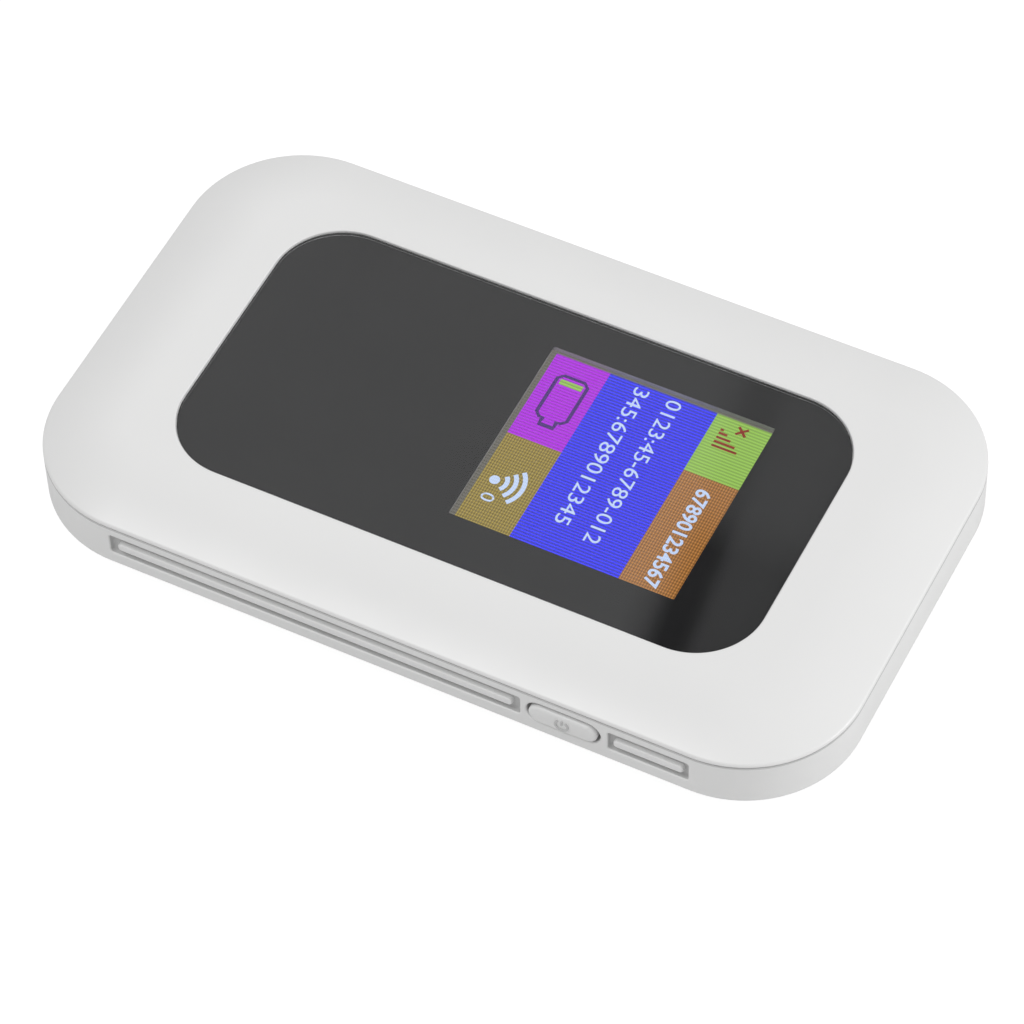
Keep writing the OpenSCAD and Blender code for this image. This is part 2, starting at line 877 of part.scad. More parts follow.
// Sprung clips between the board and the antenna foils
module antenna_springs() {
    size = [1.4, 1, antenna_z - board_top];
    skin = 0.15;
    color("gold")
        for (p = spring_spots)
            difference() {
                box(p[0], p[1], board_top, size);
                box(p[0] + skin, p[1], board_top + skin,
                    [size[0], size[1] + 2 * cut, size[2] - 2 * skin]);
            }
}

module case_screws() {
    shank = tray_z - 0.5 - screw_seat_z;
    color("darkgray")
        for (p = screw_spots)
            translate([p[0], p[1], screw_seat_z]) {
                cylinder(r = screw_r, h = shank);
                translate([0, 0, -screw_head_h])
                    difference() {
                        cylinder(r = screw_head_r, h = screw_head_h);
                        box(0, 0, -cut, [1.6, 0.35, 0.45]);
                        box(0, 0, -cut, [0.35, 1.6, 0.45]);
                    }
            }
}

module device_label() {
    color("ghostwhite")
        box(bay_x, 0, roof_z - 0.1, [40, 26, 0.1]);
}

lower_housing();
inner_frame();
top_cover();
back_cover();
cover_pad();
front_window();
window_adhesive();
display_gasket();
display_glass();
display_backlight();
display_tape();
display_cable();
main_board();
baseband_shield();
radio_shield();
baseband_chip();
memory_chip();
power_chip();
wifi_chip();
radio_chip();
thermal_pad();
board_capacitors();
board_inductors();
reference_crystal();
coax_test_sockets();
usb_shell();
usb_tongue();
power_key();
power_switch();
power_plunger();
reset_switch();
reset_plunger();
sim_socket();
sim_socket_shell();
sim_card();
sim_pads();
battery_connector();
battery_blades();
battery_pack();
battery_terminals();
main_antenna();
diversity_antenna();
wifi_antenna();
antenna_springs();
case_screws();
device_label();
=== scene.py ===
"""Looks of a pocket mobile hotspot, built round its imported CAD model. Metres, +Z out of the front face."""

import json
import math

import bmesh
import bpy
from mathutils import Matrix, Vector


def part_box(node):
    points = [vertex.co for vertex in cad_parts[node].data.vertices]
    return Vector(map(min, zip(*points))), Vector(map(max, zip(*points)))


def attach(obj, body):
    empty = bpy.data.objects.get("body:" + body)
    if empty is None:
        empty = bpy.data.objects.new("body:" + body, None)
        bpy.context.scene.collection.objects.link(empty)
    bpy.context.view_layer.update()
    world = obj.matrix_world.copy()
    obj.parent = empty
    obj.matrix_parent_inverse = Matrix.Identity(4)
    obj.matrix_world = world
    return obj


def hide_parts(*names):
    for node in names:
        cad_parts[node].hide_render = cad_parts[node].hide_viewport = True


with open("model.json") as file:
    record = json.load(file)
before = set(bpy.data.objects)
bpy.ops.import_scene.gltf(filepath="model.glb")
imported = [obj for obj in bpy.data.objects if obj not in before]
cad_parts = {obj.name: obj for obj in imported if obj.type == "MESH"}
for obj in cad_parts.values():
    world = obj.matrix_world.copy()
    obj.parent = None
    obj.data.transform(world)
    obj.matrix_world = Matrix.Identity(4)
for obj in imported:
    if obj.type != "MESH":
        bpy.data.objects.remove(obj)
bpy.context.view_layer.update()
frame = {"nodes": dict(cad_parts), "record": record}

MM = 0.001
MICRON = 0.001 * MM
UP = Vector((0, 0, 1))

# ------------------------------------------------------------------ sizes, from the frame where possible
COVER_LOW, COVER_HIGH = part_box("top_cover")
RING_LOW, RING_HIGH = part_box("lower_housing")
BACK_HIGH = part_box("back_cover")[1]
WINDOW_LOW, WINDOW_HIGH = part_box("front_window")
GLUE_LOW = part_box("window_adhesive")[0]
KEY_LOW, KEY_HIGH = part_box("power_key")
GLASS_LOW, GLASS_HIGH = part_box("display_glass")
USB_LOW, USB_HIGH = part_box("usb_shell")

CASE_L = COVER_HIGH.x - COVER_LOW.x
CASE_W = COVER_HIGH.y - COVER_LOW.y
CASE_H = COVER_HIGH.z
CORNER_R = 14 * MM
WALL_T = 1.5 * MM
EDGE_IN = 10 * MM
EDGE_DROP = 2.3 * MM
EDGE_R = 0.45 * MM
CROWN_IN, CROWN_DROP = EDGE_IN - EDGE_R, EDGE_DROP - EDGE_R
CROWN_R = EDGE_R + (CROWN_IN ** 2 + CROWN_DROP ** 2) / (2 * CROWN_DROP)
CROWN_TURN = math.degrees(math.asin(CROWN_IN / (CROWN_R - EDGE_R)))
FOOT_R = 0.5 * MM
SEAM_Z = 9.75 * MM
SEAM_CLEAR = 0.15 * MM
SEAM_BEVEL = 0.14 * MM
TONGUE_IN = 0.9 * MM
REBATE_IN = 0.8 * MM
REBATE_Z = 10.3 * MM
WEB_IN = 3.6 * MM
WEB_OUT = 2.2 * MM
PLATE_Z = 10.9 * MM
TRAY_Z = 10.4 * MM
TRAY_OVER = 1.2 * MM
RECESS_GAP = 0.1 * MM
WINDOW_R = 8.2 * MM
SUPPORT = 0.02 * MM

# ------------------------------------------------------------------ outlines and lofts
CORNERS = ((1, 1), (-1, 1), (-1, -1), (1, -1))
CASE_SIDES = (36, 18)
CORNER_STEPS = 24
SHARP_ANGLE = math.radians(34)


def side_shares(steps, length):
    """Shares along a straight side: even steps, and a support point close to each end."""
    if steps == 0:
        return []
    close = SUPPORT / max(length, 3 * SUPPORT)
    return [close] + [i / steps for i in range(1, steps)] + [1 - close]


def outline(length, width, radius, centre=(0, 0), steps=CORNER_STEPS, sides=CASE_SIDES):
    """Points of a rounded rectangle, counter-clockwise from the middle right."""
    points = []
    for turn, (sx, sy) in enumerate(CORNERS):
        arc_centre = Vector((sx * (length / 2 - radius), sy * (width / 2 - radius)))
        arc_centre += Vector(centre)
        for i in range(steps + 1):
            angle = math.pi / 2 * (turn + i / steps)
            points.append(arc_centre + radius * Vector((math.cos(angle), math.sin(angle))))
        straight = (length, width)[turn % 2] - 2 * radius
        run = Vector((-math.sin(math.pi / 2 * turn), math.cos(math.pi / 2 * turn)))
        run = Vector((-run.y, run.x)) * straight
        start = points[-1].copy()
        points += [start + run * share for share in side_shares(sides[turn % 2], straight)]
    return points


def case_outline(inset):
    return outline(CASE_L - 2 * inset, CASE_W - 2 * inset, CORNER_R - inset)


def window_outline(grow):
    size = WINDOW_HIGH - WINDOW_LOW
    return outline(size.x + 2 * grow, size.y + 2 * grow, WINDOW_R + grow)


def curve(centre, radii, start, end, steps):
    """Profile points of an arc about centre, from one angle in degrees to another."""
    angles = [math.radians(start + (end - start) * i / steps) for i in range(steps + 1)]
    return [(centre[0] + radii[0] * math.cos(a), centre[1] + radii[1] * math.sin(a)) for a in angles]


def flat(u, v, height):
    """Places an outline's point in a level plane."""
    return (u, v, height)


def front_wall(u, v, depth):
    """Places an outline's point in the side wall with the power key, depth being inwards."""
    return (u, -CASE_W / 2 + depth, v)


def end_wall(u, v, depth):
    """Places an outline's point in the end wall with the charging socket, depth being inwards."""
    return (-CASE_L / 2 + depth, u, v)


def ring(bm, points, level, place=flat):
    return [bm.verts.new(place(u, v, level)) for u, v in points]


def bridge(bm, first, second, skip=()):
    """Joins two rings with quads, leaving out the segments in skip."""
    count = len(first)
    for i in range(count):
        j = (i + 1) % count
        if i not in skip:
            bm.faces.new((first[i], first[j], second[j], second[i]))


def loft(bm, rings, closed=False):
    for first, second in zip(rings, rings[1:]):
        bridge(bm, first, second)
    if closed:
        bridge(bm, rings[-1], rings[0])


def prism(bm, rings):
    """A loft with both ends closed."""
    loft(bm, rings)
    bm.faces.new(rings[0])
    bm.faces.new(rings[-1])


def fill_patch(bm, loops, normal):
    """Fills the flat region between closed loops of vertices."""
    edges = []
    for loop in loops:
        for a, b in zip(loop, loop[1:] + loop[:1]):
            edges.append(bm.edges.get((a, b)) or bm.edges.new((a, b)))
    bmesh.ops.triangle_fill(bm, use_beauty=True, use_dissolve=False, edges=edges, normal=normal)


def side_segments(turn, reach=1):
    """Indices of a case ring's points along the side after a corner, reach steps into both corners."""
    counts = [CORNER_STEPS + 1 + len(side_shares(CASE_SIDES[t % 2], CASE_L)) for t in range(4)]
    start = sum(counts[:turn]) + CORNER_STEPS - reach
    end = sum(counts[:turn + 1]) + reach
    return list(range(start, end + 1))


def paint(bm, known, index):
    """Gives the faces made since the known ones another of the piece's materials."""
    for face in bm.faces:
        if face not in known:
            face.material_index = index


def ribbon(bm, path, width, levels, place=flat, closed=False):
    """A flat band along a path of points, between two levels."""
    path = [Vector(p) for p in path]
    sections = []
    for i, point in enumerate(path):
        before = path[i - 1] if closed or i > 0 else point
        after = path[(i + 1) % len(path)] if closed or i < len(path) - 1 else point
        along = (after - before).normalized()
        bend = 1.0
        if before != point and after != point:
            bend = max(0.5, math.cos((after - point).angle(point - before) / 2))
        across = Vector((-along.y, along.x)) * width / 2 / bend
        left, right = point + across, point - across
        corners = [(left, levels[0]), (right, levels[0]), (right, levels[1]), (left, levels[1])]
        sections.append([bm.verts.new(place(p.x, p.y, level)) for p, level in corners])
    loft(bm, sections, closed)
    if not closed:
        bm.faces.new(sections[0])
        bm.faces.new(sections[-1])


def circle(radius, centre=(0, 0), steps=32, start=0.0, sweep=360.0):
    """Points of a circle or of part of one."""
    whole = abs(sweep) >= 360
    count = steps if whole else steps + 1
    angles = [math.radians(start + sweep * i / steps) for i in range(count)]
    return [Vector(centre) + radius * Vector((math.cos(a), math.sin(a))) for a in angles]


def make_piece(name, bm, materials, body, slot, *replaced):
    """Turns a built shell into a piece: outward normals, smooth faces and sharp edges."""
    bmesh.ops.remove_doubles(bm, verts=bm.verts, dist=0.01 * MICRON)
    bmesh.ops.recalc_face_normals(bm, faces=bm.faces)
    for face in bm.faces:
        face.smooth = True
    for edge in bm.edges:
        edge.smooth = len(edge.link_faces) == 2 and edge.calc_face_angle(0) < SHARP_ANGLE
    mesh = bpy.data.meshes.new(name)
    bm.to_mesh(mesh)
    bm.free()
    for material in materials:
        mesh.materials.append(material)
    piece = bpy.data.objects.new(name, mesh)
    bpy.context.scene.collection.objects.link(piece)
    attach(piece, body)
    if replaced:
        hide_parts(*replaced)
    return piece


# ------------------------------------------------------------------ materials
def new_material(name):
    material = bpy.data.materials.new(name)
    material.use_nodes = True
    tree = material.node_tree
    return material, tree, tree.nodes["Principled BSDF"]


def noise(tree, size, detail=3.0, stretch=(1, 1, 1)):
    """Noise on the piece's own coordinates, size being the width of one patch in metres."""
    coordinates = tree.nodes.new("ShaderNodeTexCoord")
    mapping = tree.nodes.new("ShaderNodeMapping")
    mapping.inputs["Scale"].default_value = stretch
    texture = tree.nodes.new("ShaderNodeTexNoise")
    texture.inputs["Scale"].default_value = 1 / size
    texture.inputs["Detail"].default_value = detail
    tree.links.new(coordinates.outputs["Object"], mapping.inputs["Vector"])
    tree.links.new(mapping.outputs["Vector"], texture.inputs["Vector"])
    return texture.outputs["Fac"]


def ramp(tree, value, stops):
    """Colour ramp: stops are (position, colour)."""
    node = tree.nodes.new("ShaderNodeValToRGB")
    elements = node.color_ramp.elements
    while len(elements) < len(stops):
        elements.new(0.5)
    for element, (position, colour) in zip(elements, stops):
        element.position = position
        element.color = (*colour, 1)
    tree.links.new(value, node.inputs["Fac"])
    return node.outputs["Color"]


def add_bump(tree, shader, height, distance, strength=1.0):
    node = tree.nodes.new("ShaderNodeBump")
    node.inputs["Strength"].default_value = strength
    node.inputs["Distance"].default_value = distance
    tree.links.new(height, node.inputs["Height"])
    tree.links.new(node.outputs["Normal"], shader.inputs["Normal"])


def shade(colour, factor):
    return tuple(min(1.0, channel * factor) for channel in colour)


def moulded(name, colour, roughness, grain=0.12 * MM, relief=1.2 * MICRON, patch=14 * MM, spread=0.03,
            metallic=0.0, stretch=(1, 1, 1), specular=0.5):
    """A surface with cloudy colour, uneven gloss and a fine grain."""
    material, tree, shader = new_material(name)
    shader.inputs["Metallic"].default_value = metallic
    shader.inputs["Specular IOR Level"].default_value = specular
    clouds = noise(tree, patch, 4.0, stretch)
    tint = ramp(tree, clouds, [(0.3, shade(colour, 1 - spread)), (0.7, shade(colour, 1 + spread))])
    tree.links.new(tint, shader.inputs["Base Color"])
    gloss = ramp(tree, noise(tree, patch / 3, 3.0, stretch),
                 [(0.3, (roughness * 0.92,) * 3), (0.7, (min(1, roughness * 1.08),) * 3)])
    tree.links.new(gloss, shader.inputs["Roughness"])
    add_bump(tree, shader, noise(tree, grain, 2.0, stretch), relief)
    return material


def window_glass(name="window_acrylic", reflection=1.0):
    """Clear acrylic; reflection scales what its surface mirrors."""
    material, tree, shader = new_material(name)
    shader.inputs["Specular Tint"].default_value = (reflection, reflection, reflection, 1)
    shader.inputs["Base Color"].default_value = (0.93, 0.94, 0.95, 1)
    shader.inputs["Transmission Weight"].default_value = 1.0
    shader.inputs["IOR"].default_value = 1.49
    gloss = ramp(tree, noise(tree, 9 * MM, 4.0), [(0.35, (0.0,) * 3), (0.75, (0.004,) * 3)])
    tree.links.new(gloss, shader.inputs["Roughness"])
    add_bump(tree, shader, noise(tree, 6 * MM, 1.0), 0.4 * MICRON)
    return material


PIXEL_COUNT = 128
PIXEL = 27 * MM / PIXEL_COUNT
WAVE_SCALE = math.pi / 10
BRIGHT_SHARE = 0.4


def lit(name, colour, strength=1.0, row_depth=0.25, column_depth=0.1, column_pitch=1):
    """A lit part of the display: every second pixel row is dimmer, and columns show faintly."""
    material, tree, shader = new_material(name)
    shader.inputs["Base Color"].default_value = (0.004, 0.004, 0.004, 1)
    shader.inputs["Roughness"].default_value = 0.4
    shader.inputs["Specular IOR Level"].default_value = 0.1
    shader.inputs["Emission Strength"].default_value = strength
    coordinates = tree.nodes.new("ShaderNodeTexCoord")
    waves = []
    for axis, pitch, depth in (("Y", 2 * PIXEL, row_depth), ("X", column_pitch * PIXEL, column_depth)):
        wave = tree.nodes.new("ShaderNodeTexWave")
        wave.bands_direction = axis
        wave.inputs["Scale"].default_value = WAVE_SCALE / pitch
        wave.inputs["Distortion"].default_value = 0
        tree.links.new(coordinates.outputs["Object"], wave.inputs["Vector"])
        stops = [(0.2, (1 - depth,) * 3), (0.8, (1 + depth * BRIGHT_SHARE,) * 3)]
        waves.append(ramp(tree, wave.outputs["Fac"], stops))
    mix = tree.nodes.new("ShaderNodeMix")
    mix.data_type = "RGBA"
    mix.blend_type = "MULTIPLY"
    mix.inputs["Factor"].default_value = 1.0
    tree.links.new(waves[0], mix.inputs["A"])
    tree.links.new(waves[1], mix.inputs["B"])
    paint = tree.nodes.new("ShaderNodeMix")
    paint.data_type = "RGBA"
    paint.blend_type = "MULTIPLY"
    paint.inputs["Factor"].default_value = 1.0
    paint.inputs["B"].default_value = (*colour, 1)
    tree.links.new(mix.outputs["Result"], paint.inputs["A"])
    tree.links.new(paint.outputs["Result"], shader.inputs["Emission Color"])
    return material


def circuit_board():
    """Green solder mask over copper tracks."""
    material, tree, shader = new_material("circuit_board")
    shader.inputs["Roughness"].default_value = 0.35
    coordinates = tree.nodes.new("ShaderNodeTexCoord")
    tracks = tree.nodes.new("ShaderNodeTexBrick")
    tracks.inputs["Scale"].default_value = 260
    tracks.inputs["Mortar Size"].default_value = 0.035
    tracks.inputs["Color1"].default_value = (0.01, 0.10, 0.035, 1)
    tracks.inputs["Color2"].default_value = (0.012, 0.12, 0.04, 1)
    tracks.inputs["Mortar"].default_value = (0.05, 0.26, 0.09, 1)
    tree.links.new(coordinates.outputs["Object"], tracks.inputs["Vector"])
    tree.links.new(tracks.outputs["Color"], shader.inputs["Base Color"])
    add_bump(tree, shader, tracks.outputs["Fac"], 8 * MICRON)
    return material


WHITE = (0.755, 0.755, 0.752)
LOOKS = {
    "cover_plastic": moulded("cover_plastic", WHITE, 0.32, spread=0.008),
    "housing_plastic": moulded("housing_plastic", WHITE, 0.32, spread=0.01),
    # Darker copy of the white plastic: painted shade for the slots, the holes and the seam
    "recess_painted_shade": moulded("recess_painted_shade", shade(WHITE, 0.72), 0.6, spread=0.01),
    "frame_plastic": moulded("frame_plastic", (0.62, 0.62, 0.61), 0.5, grain=0.2 * MM),
    "key_plastic": moulded("key_plastic", shade(WHITE, 0.99), 0.34, spread=0.008),
    "window_acrylic": window_glass(),
    "display_panel": moulded("display_panel", (0.20, 0.195, 0.19), 0.5, relief=0.4 * MICRON),
    "backlight_frame": moulded("backlight_frame", (0.85, 0.85, 0.83), 0.55),
    "adhesive": moulded("adhesive", (0.012, 0.012, 0.012), 0.7, relief=4 * MICRON),
    "foam": moulded("foam", (0.22, 0.215, 0.21), 0.95, grain=0.3 * MM, relief=60 * MICRON, spread=0.2),
    "flex_circuit": moulded("flex_circuit", (0.55, 0.24, 0.04), 0.35, patch=2 * MM, spread=0.2),
    "circuit_board": circuit_board(),
    "shield_metal": moulded("shield_metal", (0.62, 0.61, 0.58), 0.32, metallic=1.0, stretch=(1, 12, 1)),
    "chip_resin": moulded("chip_resin", (0.02, 0.02, 0.022), 0.5, grain=0.08 * MM, relief=3 * MICRON),
    "ceramic_parts": moulded("ceramic_parts", (0.42, 0.27, 0.14), 0.45, patch=0.6 * MM, spread=0.35),
    "inductor_ferrite": moulded("inductor_ferrite", (0.07, 0.07, 0.075), 0.6, patch=1 * MM, spread=0.3),
    "thermal_silicone": moulded("thermal_silicone", (0.25, 0.5, 0.7), 0.6, relief=10 * MICRON),
    "gold_contact": moulded("gold_contact", (0.95, 0.65, 0.25), 0.28, metallic=1.0, spread=0.08),
    "socket_steel": moulded("socket_steel", (0.60, 0.60, 0.60), 0.30, metallic=1.0, stretch=(1, 1, 9)),
    "black_insulator": moulded("black_insulator", (0.02, 0.02, 0.02), 0.5, relief=3 * MICRON),
    "switch_ivory": moulded("switch_ivory", (0.70, 0.66, 0.52), 0.45),
    "battery_wrap": moulded("battery_wrap", (0.05, 0.05, 0.055), 0.4, patch=8 * MM, spread=0.15),
    "sim_plastic": moulded("sim_plastic", (0.78, 0.78, 0.76), 0.4),
    "screw_steel": moulded("screw_steel", (0.30, 0.30, 0.31), 0.35, metallic=1.0, patch=1 * MM, spread=0.2),
    "label_film": moulded("label_film", (0.75, 0.75, 0.73), 0.3, relief=0.6 * MICRON),
}


# ------------------------------------------------------------------ top cover
LIP_R = 0.15 * MM
BOSS_R = 2.1 * MM
BOSS_BORE = 0.8 * MM
BOSS_Z = 8.05 * MM
BOSS_SPOTS = [(x * MM, y * MM) for x, y in
              ((-43.5, -18), (-43.5, 18), (43.5, -18), (43.5, 18), (0, -24.3), (0, 24.3))]
OPENING_GAP = 0.4 * MM
EDGE_STEPS = 8
CROWN_STEPS = 24


def tube(bm, spot, outer, inner, low, high):
    sizes = [(outer, low), (outer, high), (inner, high), (inner, low)]
    loft(bm, [ring(bm, circle(radius, spot), level) for radius, level in sizes], closed=True)


def opening_outline():
    """The hole in the tray that the display looks through."""
    size = GLASS_HIGH - GLASS_LOW
    middle = (GLASS_HIGH + GLASS_LOW) / 2
    return outline(size.x + 2 * OPENING_GAP, size.y + 2 * OPENING_GAP, 0.3 * MM, (middle.x, middle.y))


def build_top_cover():
    bm = bmesh.new()
    outer = [(WEB_OUT, REBATE_Z), (REBATE_IN, REBATE_Z), (REBATE_IN, SEAM_Z)]
    outer += curve((SEAM_BEVEL, SEAM_Z + SEAM_BEVEL), (SEAM_BEVEL, SEAM_BEVEL), -90, -180, 4)
    outer += curve((EDGE_R, CASE_H - EDGE_DROP), (EDGE_R, EDGE_R), 180, 90 + CROWN_TURN, EDGE_STEPS)
    outer += curve((EDGE_IN, CASE_H - CROWN_R), (CROWN_R, CROWN_R), 90 + CROWN_TURN, 90, CROWN_STEPS)[1:]
    outer += [(EDGE_IN + SUPPORT, CASE_H)]
    lip = [(RECESS_GAP + LIP_R + SUPPORT, CASE_H)]
    lip += curve((RECESS_GAP + LIP_R, CASE_H - LIP_R), (LIP_R, LIP_R), 90, 180, 5)
    lip += [(RECESS_GAP, GLUE_LOW.z)]
    rings = [ring(bm, case_outline(inset), z) for inset, z in outer]
    rings += [ring(bm, window_outline(grow), z) for grow, z in lip]
    rings += [ring(bm, opening_outline(), z) for z in (GLUE_LOW.z, TRAY_Z)]
    rings += [ring(bm, window_outline(TRAY_OVER), z) for z in (TRAY_Z, PLATE_Z)]
    rings += [ring(bm, case_outline(WEB_IN), PLATE_Z)]
    loft(bm, rings, closed=True)
    for spot in BOSS_SPOTS:
        tube(bm, spot, BOSS_R, BOSS_BORE, BOSS_Z, PLATE_Z + SUPPORT)
    return make_piece("top_shell", bm, [LOOKS["cover_plastic"]], "chassis", "cover_plastic", "top_cover")


# ------------------------------------------------------------------ side housing with its openings
SLOT_Z = 6.82 * MM
SLOT_H = 3.25 * MM
SLOT_D = 0.75 * MM
SLOT_END_R = 0.45 * MM
SLOTS = ((-35.85 * MM, 15.65 * MM, 1.1 * MM), (26.1 * MM, 35.95 * MM, 0.75 * MM))
RIB_H = 1.07 * MM
RIB_DROP = 0.1 * MM
RIB_END_R = 0.45 * MM
KEY_X = (KEY_LOW.x + KEY_HIGH.x) / 2
KEY_SLOT_L = 9.0 * MM
KEY_SLOT_H = 3.4 * MM
OPEN_LIP = 0.18 * MM
KEY_LIP = 0.25 * MM
LEDGE_W = 0.8 * MM
LEDGE_Z = (4.35 * MM, 4.95 * MM)
FRONT_SIDE = 2
END_SIDE = 1
USB_GAP = 0.11 * MM
USB_LIP = 0.05 * MM
USB_W = 7.5 * MM
USB_R = 0.3 * MM
LEDGE_GAP = 1 * MM
FLOOR_FILLET_R = 0.14 * MM
RIB_EDGE_R = 0.2 * MM
HOLE_STEPS = 6
LIP_STEPS = 5
FILLET_STEPS = 4
FOOT_STEPS = 6
# Material of a piece's recesses, counted from 0: the darker white plastic that paints their shade
PAINTED_SHADE = 1


def hole_rings(bm, place, shape, levels, sides=(30, 2)):
    """Rings of one moulded opening: shape is length, height, corner radius and centre; levels are
    (growth, depth) pairs."""
    length, height, radius, centre = shape
    return [ring(bm, outline(length + 2 * grow, height + 2 * grow, radius + grow, centre,
                             HOLE_STEPS, sides), depth, place) for grow, depth in levels]


def grip_slot(bm, x0, x1, rib_inset):
    """A slot with a rounded lip, a filleted floor and a rib along its middle; returns its outer loop."""
    floor_r, rib_r = FLOOR_FILLET_R, RIB_EDGE_R
    inner = -OPEN_LIP / 2
    levels = [(OPEN_LIP / 2 + SUPPORT, 0)]
    levels += curve((OPEN_LIP / 2, OPEN_LIP), (OPEN_LIP, OPEN_LIP), -90, -180, LIP_STEPS)
    levels += curve((inner - floor_r, SLOT_D - floor_r), (floor_r, floor_r), 0, 90, FILLET_STEPS)
    slot = ((x1 - x0), SLOT_H, SLOT_END_R, ((x0 + x1) / 2, SLOT_Z))
    rings = hole_rings(bm, front_wall, slot, levels)
    rib_levels = curve((floor_r, SLOT_D - floor_r), (floor_r, floor_r), 90, 180, FILLET_STEPS)
    rib_levels += curve((-rib_r, rib_r), (rib_r, rib_r), 0, -90, LIP_STEPS)
    rib_levels += [(-rib_r - SUPPORT, 0)]
    rib_l = x1 - x0 - 2 * rib_inset
    rib = (rib_l, RIB_H, RIB_END_R, ((x0 + x1) / 2, SLOT_Z - RIB_DROP))
    rings += hole_rings(bm, front_wall, rib, rib_levels)
    lip_end, rib_start = LIP_STEPS + 1, len(levels) + FILLET_STEPS
    loft(bm, rings[:lip_end + 1])
    # The slot's sides and floor take the darker plastic: painted shade inside the slot
    known = set(bm.faces)
    loft(bm, rings[lip_end:rib_start + 1])
    paint(bm, known, PAINTED_SHADE)
    loft(bm, rings[rib_start:])
    bm.faces.new(rings[-1])
    return rings[0]


def through_hole(bm, place, shape, lip, reach, sides):
    """An opening right through the wall, whose lip starts reach outside its outline; returns its
    outer and inner loops."""
    levels = [(reach + SUPPORT, 0)]
    levels += curve((reach, lip), (lip, lip), -90, -180, LIP_STEPS)
    levels += [(reach - lip, WALL_T)]
    rings = hole_rings(bm, place, shape, levels, sides)
    loft(bm, rings[:-1])
    # The hole's inner wall takes the darker plastic: painted shade inside the hole
    known = set(bm.faces)
    loft(bm, rings[-2:])
    paint(bm, known, PAINTED_SHADE)
    return rings[0], rings[-1]


def wall_loop(low, high, turn):
    """The closed loop of vertices round one side of a wall, between two rings."""
    segments = side_segments(turn)
    return [low[i] for i in segments] + [high[i] for i in reversed(segments)]


def ledge(bm):
    """The ledge inside the wall that holds the inner frame, open behind the power key."""
    gap = KEY_SLOT_L / 2 + LEDGE_GAP
    outer, inner = case_outline(WALL_T - SUPPORT), case_outline(WALL_T + LEDGE_W)
    key_spot = Vector((KEY_X, -CASE_W / 2))
    count = len(outer)
    start = min(range(count), key=lambda i: (outer[i] - key_spot).length)
    low, high = LEDGE_Z
    bar = []
    for i in (step % count for step in range(start, start + count)):
        if (outer[i] - key_spot).length > gap:
            corners = ((outer[i], low), (inner[i], low), (inner[i], high), (outer[i], high))
            bar.append([bm.verts.new((p.x, p.y, z)) for p, z in corners])
    prism(bm, bar)


def build_housing():
    bm = bmesh.new()
    seam = SEAM_Z - SEAM_CLEAR
    profile = [(WALL_T, RING_LOW.z), (FOOT_R + SUPPORT, RING_LOW.z)]
    profile += curve((FOOT_R, RING_LOW.z + FOOT_R), (FOOT_R, FOOT_R), -90, -180, FOOT_STEPS)
    profile += [(0, RING_LOW.z + FOOT_R + SUPPORT)]
    wall_start = len(profile) - 1
    profile += [(0, seam - SEAM_BEVEL - SUPPORT)]
    profile += curve((SEAM_BEVEL, seam - SEAM_BEVEL), (SEAM_BEVEL, SEAM_BEVEL), 180, 90, FILLET_STEPS)
    profile += [(TONGUE_IN, seam), (TONGUE_IN, RING_HIGH.z), (WALL_T, RING_HIGH.z)]
    rings = [ring(bm, case_outline(inset), z) for inset, z in profile]
    skip = set(side_segments(FRONT_SIDE)[:-1]) | set(side_segments(END_SIDE)[:-1])
    for i, (low, high) in enumerate(zip(rings, rings[1:])):
        known = set(bm.faces)
        bridge(bm, low, high, skip if i == wall_start else ())
        # Above the side wall, the seam's bevel, tongue and top take the darker plastic: painted shade along
        # the seam
        if i > wall_start:
            paint(bm, known, PAINTED_SHADE)
    bridge(bm, rings[-1], rings[0], skip)
    front_outer, front_inner = [], []
    for x0, x1, rib_inset in SLOTS:
        front_outer.append(grip_slot(bm, x0, x1, rib_inset))
    key_hole = (KEY_SLOT_L, KEY_SLOT_H, KEY_SLOT_H / 2 - SUPPORT, (KEY_X, SLOT_Z))
    outer, inner = through_hole(bm, front_wall, key_hole, KEY_LIP, KEY_LIP, (20, 0))
    front_outer.append(outer)
    front_inner.append(inner)
    usb = USB_HIGH - USB_LOW
    usb_middle = (USB_HIGH + USB_LOW) / 2
    usb_hole = (USB_W + 2 * USB_GAP, usb.z + 2 * USB_GAP, USB_R, (0, usb_middle.z))
    usb_outer, usb_inner = through_hole(bm, end_wall, usb_hole, USB_LIP, USB_LIP / 2, (10, 4))
    low, high = rings[wall_start], rings[wall_start + 1]
    fill_patch(bm, [wall_loop(low, high, FRONT_SIDE)] + front_outer, (0, -1, 0))
    fill_patch(bm, [wall_loop(rings[0], rings[-1], FRONT_SIDE)] + front_inner, (0, 1, 0))
    fill_patch(bm, [wall_loop(low, high, END_SIDE), usb_outer], (-1, 0, 0))
    fill_patch(bm, [wall_loop(rings[0], rings[-1], END_SIDE), usb_inner], (1, 0, 0))
    ledge(bm)
    return make_piece("side_housing", bm, [LOOKS["housing_plastic"], LOOKS["recess_painted_shade"]], "chassis",
                      "housing_plastic", "lower_housing")


# ------------------------------------------------------------------ back cover
COVER_INSET = 0.5 * MM
COVER_T = 1.2 * MM
COVER_SLOPE = 45
COVER_ARC_H = 2.95 * MM
COVER_H = 3.2 * MM
COVER_ARC_R = COVER_ARC_H / (1 - math.cos(math.radians(COVER_SLOPE)))
COVER_ARC_IN = COVER_ARC_R * math.sin(math.radians(COVER_SLOPE))
COVER_WALL = 1.0 * MM
RIM_BEVEL = 0.08 * MM
NOTCH_Z = 2.3 * MM
NOTCH_R = 5 * MM
NOTCH_Y = 32.8 * MM
COVER_TONGUES = [(side * 24 * MM, end * 27.65 * MM, 12 * MM, 0.8 * MM)
                 for side in (-1, 1) for end in (-1, 1)]
COVER_TONGUES += [(side * 47.95 * MM, 0, 0.8 * MM, 14 * MM) for side in (-1, 1)]


